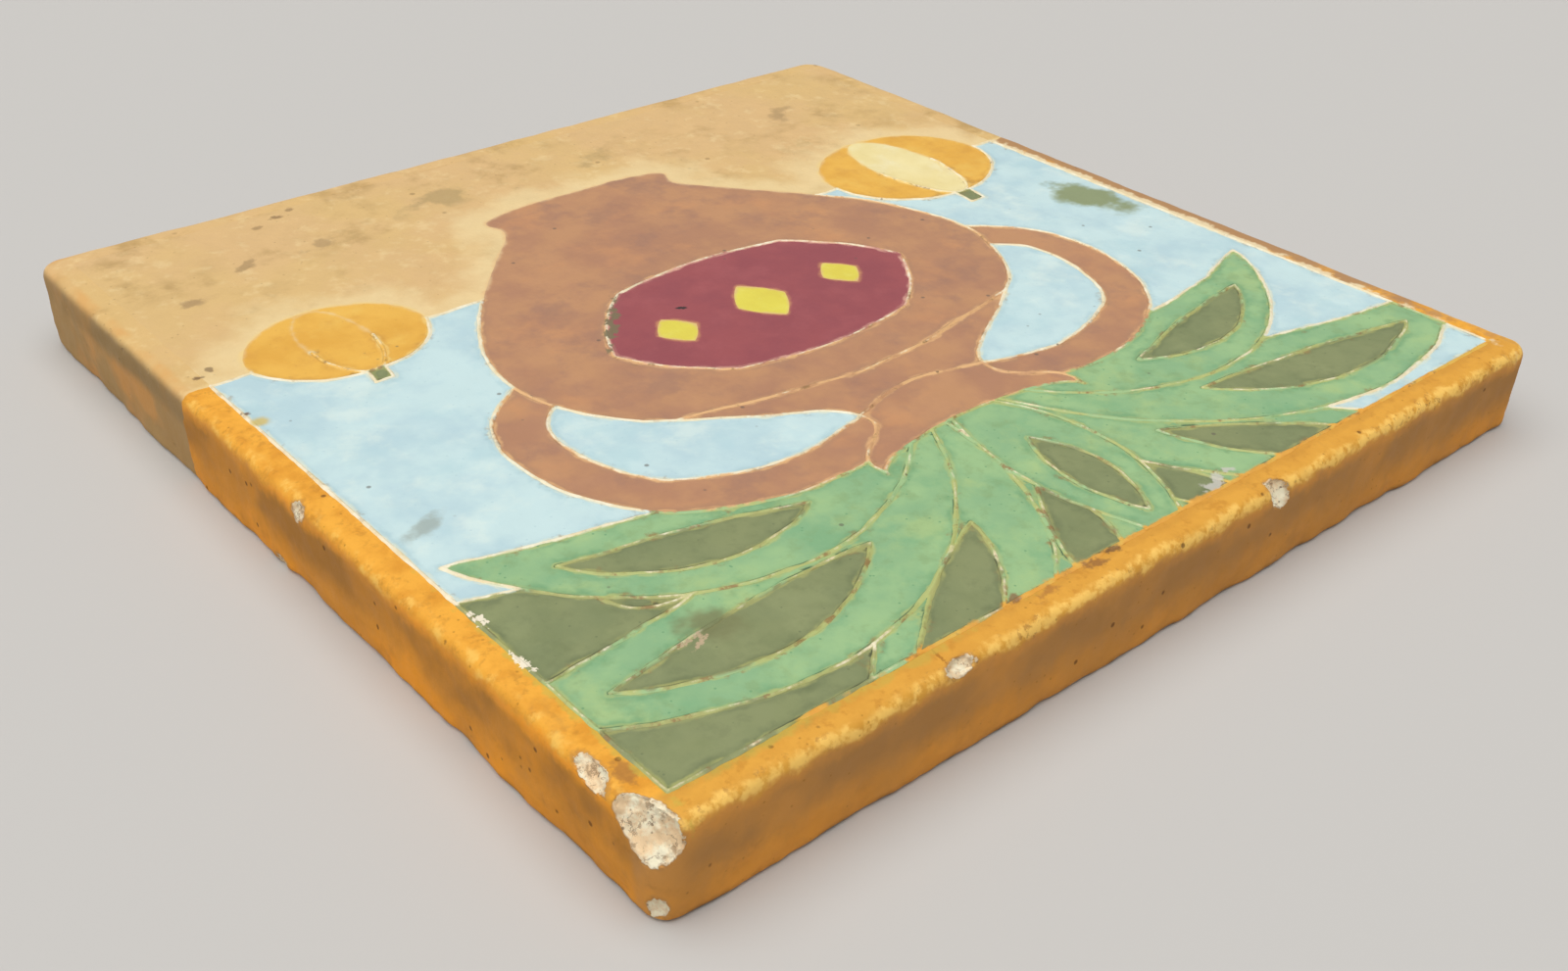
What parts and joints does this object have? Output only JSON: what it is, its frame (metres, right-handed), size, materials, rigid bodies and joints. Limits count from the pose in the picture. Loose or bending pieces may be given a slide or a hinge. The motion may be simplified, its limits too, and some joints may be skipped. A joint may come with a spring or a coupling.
{
  "type": "ceramic tile",
  "caption": "Square glazed ceramic wall tile, face up, with a still life in glazes parted by raised clay lines, and chips along two edges.",
  "frame": {"origin": "centre of the flat back that the tile rests on", "axes": "+Z out of the glazed face, +Y towards the top of the picture, +X towards its right side"},
  "size_m": [0.152, 0.152, 0.013],
  "materials": {
    "glazed_body": "satin glazes of several colours on a buff fired clay body"
  },
  "bodies": {
    "root": {"tile": "glazed_body"}
  },
  "joints": []
}
